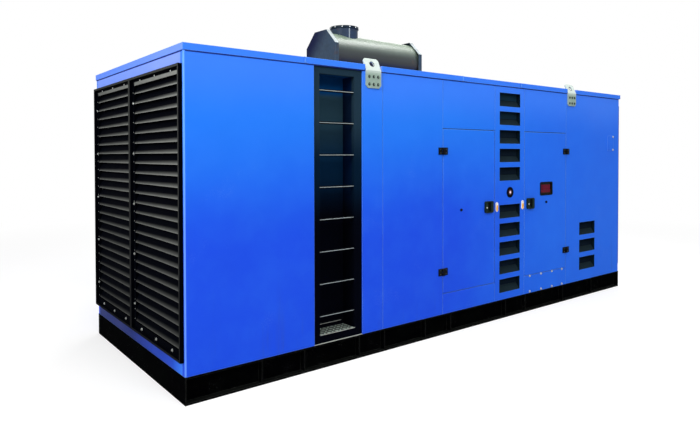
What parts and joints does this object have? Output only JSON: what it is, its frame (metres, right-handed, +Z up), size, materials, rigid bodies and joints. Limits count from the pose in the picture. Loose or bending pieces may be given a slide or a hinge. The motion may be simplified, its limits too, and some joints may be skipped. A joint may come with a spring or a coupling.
{
  "type": "generator set",
  "caption": "Canopied engine-driven generator set on a steel skid, with louvred ends, hinged service doors, a ladder recess and a roof silencer.",
  "frame": {"origin": "on the ground under the middle of the skid", "axes": "+X along the canopy from the near louvred end to the far end, +Y from the door side to the back, +Z up"},
  "size_m": [6.06, 2.194, 3.102],
  "materials": {
    "skid_black": "satin black paint",
    "canopy_blue": "semi-gloss blue paint",
    "trim_black": "satin black paint",
    "silencer_grey": "heat-proof dark grey paint",
    "lug_grey": "light grey paint",
    "rung_grey": "galvanised",
    "tread_plate": "raised tread pattern",
    "handle_black": "fine grain",
    "buffer_rubber": "plain",
    "rim_rubber": "plain",
    "window_glass": "dark tint",
    "marker_white": "gloss",
    "stop_red": "gloss",
    "guard_black": "fine grain"
  },
  "bodies": {
    "canopy": {"skid_rail_front": "skid_black", "skid_rail_back": "skid_black", "skid_cross_members": "skid_black", "floor_deck": "skid_black", "front_panel_left": "canopy_blue", "front_panel_post": "canopy_blue", "front_panel_middle": "canopy_blue", "front_door_surrounds": "canopy_blue", "front_vent_panel": "canopy_blue", "front_panel_right": "canopy_blue", "back_panel_left": "canopy_blue", "back_door_surrounds": "canopy_blue", "back_panel_middle": "canopy_blue", "back_panel_right": "canopy_blue", "back_doors": "canopy_blue", "back_door_fittings": "trim_black", "end_rails": "canopy_blue", "end_posts": "canopy_blue", "louvres_near_end": "trim_black", "louvres_far_end": "trim_black", "roof_panel_1": "canopy_blue", "roof_panel_2": "canopy_blue", "roof_panel_3": "canopy_blue", "roof_panel_4": "canopy_blue", "lifting_lugs": "lug_grey", "silencer_drum": "silencer_grey", "silencer_end_plates": "silencer_grey", "silencer_outlet": "silencer_grey", "recess_frame": "trim_black", "recess_box": "trim_black", "recess_tread": "tread_plate", "ladder_rungs": "rung_grey", "vent_sills": "trim_black", "cover_plate": "canopy_blue", "marker_plates": "marker_white", "hinge_posts": "trim_black", "stop_button_guard": "guard_black"},
    "door_left": {"door_left": "canopy_blue", "door_left_hinges": "trim_black", "handle_housing_left": "handle_black", "door_left_buffer": "buffer_rubber"},
    "door_right": {"door_right": "canopy_blue", "door_right_hinges": "trim_black", "handle_housing_right": "handle_black", "door_right_buffer": "buffer_rubber", "window_rim": "rim_rubber", "window_pane": "window_glass"},
    "grip_left": {"handle_grip_left": "handle_black"},
    "grip_right": {"handle_grip_right": "handle_black"},
    "stop_button": {"stop_button": "stop_red"}
  },
  "joints": [
    {"name": "door_left_hinge", "type": "hinge", "parent": "canopy", "child": "door_left", "pos_m": [-0.392, -1.086, 1.2], "axis": [0, 0, -1], "range_deg": [0, 170]},
    {"name": "door_right_hinge", "type": "hinge", "parent": "canopy", "child": "door_right", "pos_m": [1.741, -1.086, 1.2], "axis": [0, 0, 1], "range_deg": [0, 170]},
    {"name": "grip_left_pivot", "type": "hinge", "parent": "door_left", "child": "grip_left", "pos_m": [0.2955, -1.084, 1.245], "axis": [-1, 0, 0], "range_deg": [0, 40], "stiffness_Nm_per_rad": 1.5},
    {"name": "grip_right_pivot", "type": "hinge", "parent": "door_right", "child": "grip_right", "pos_m": [1.0205, -1.084, 1.245], "axis": [-1, 0, 0], "range_deg": [0, 40], "stiffness_Nm_per_rad": 1.5},
    {"name": "stop_button_slide", "type": "slide", "parent": "canopy", "child": "stop_button", "axis": [0, 1, 0], "range_m": [0, 0.006]}
  ]
}
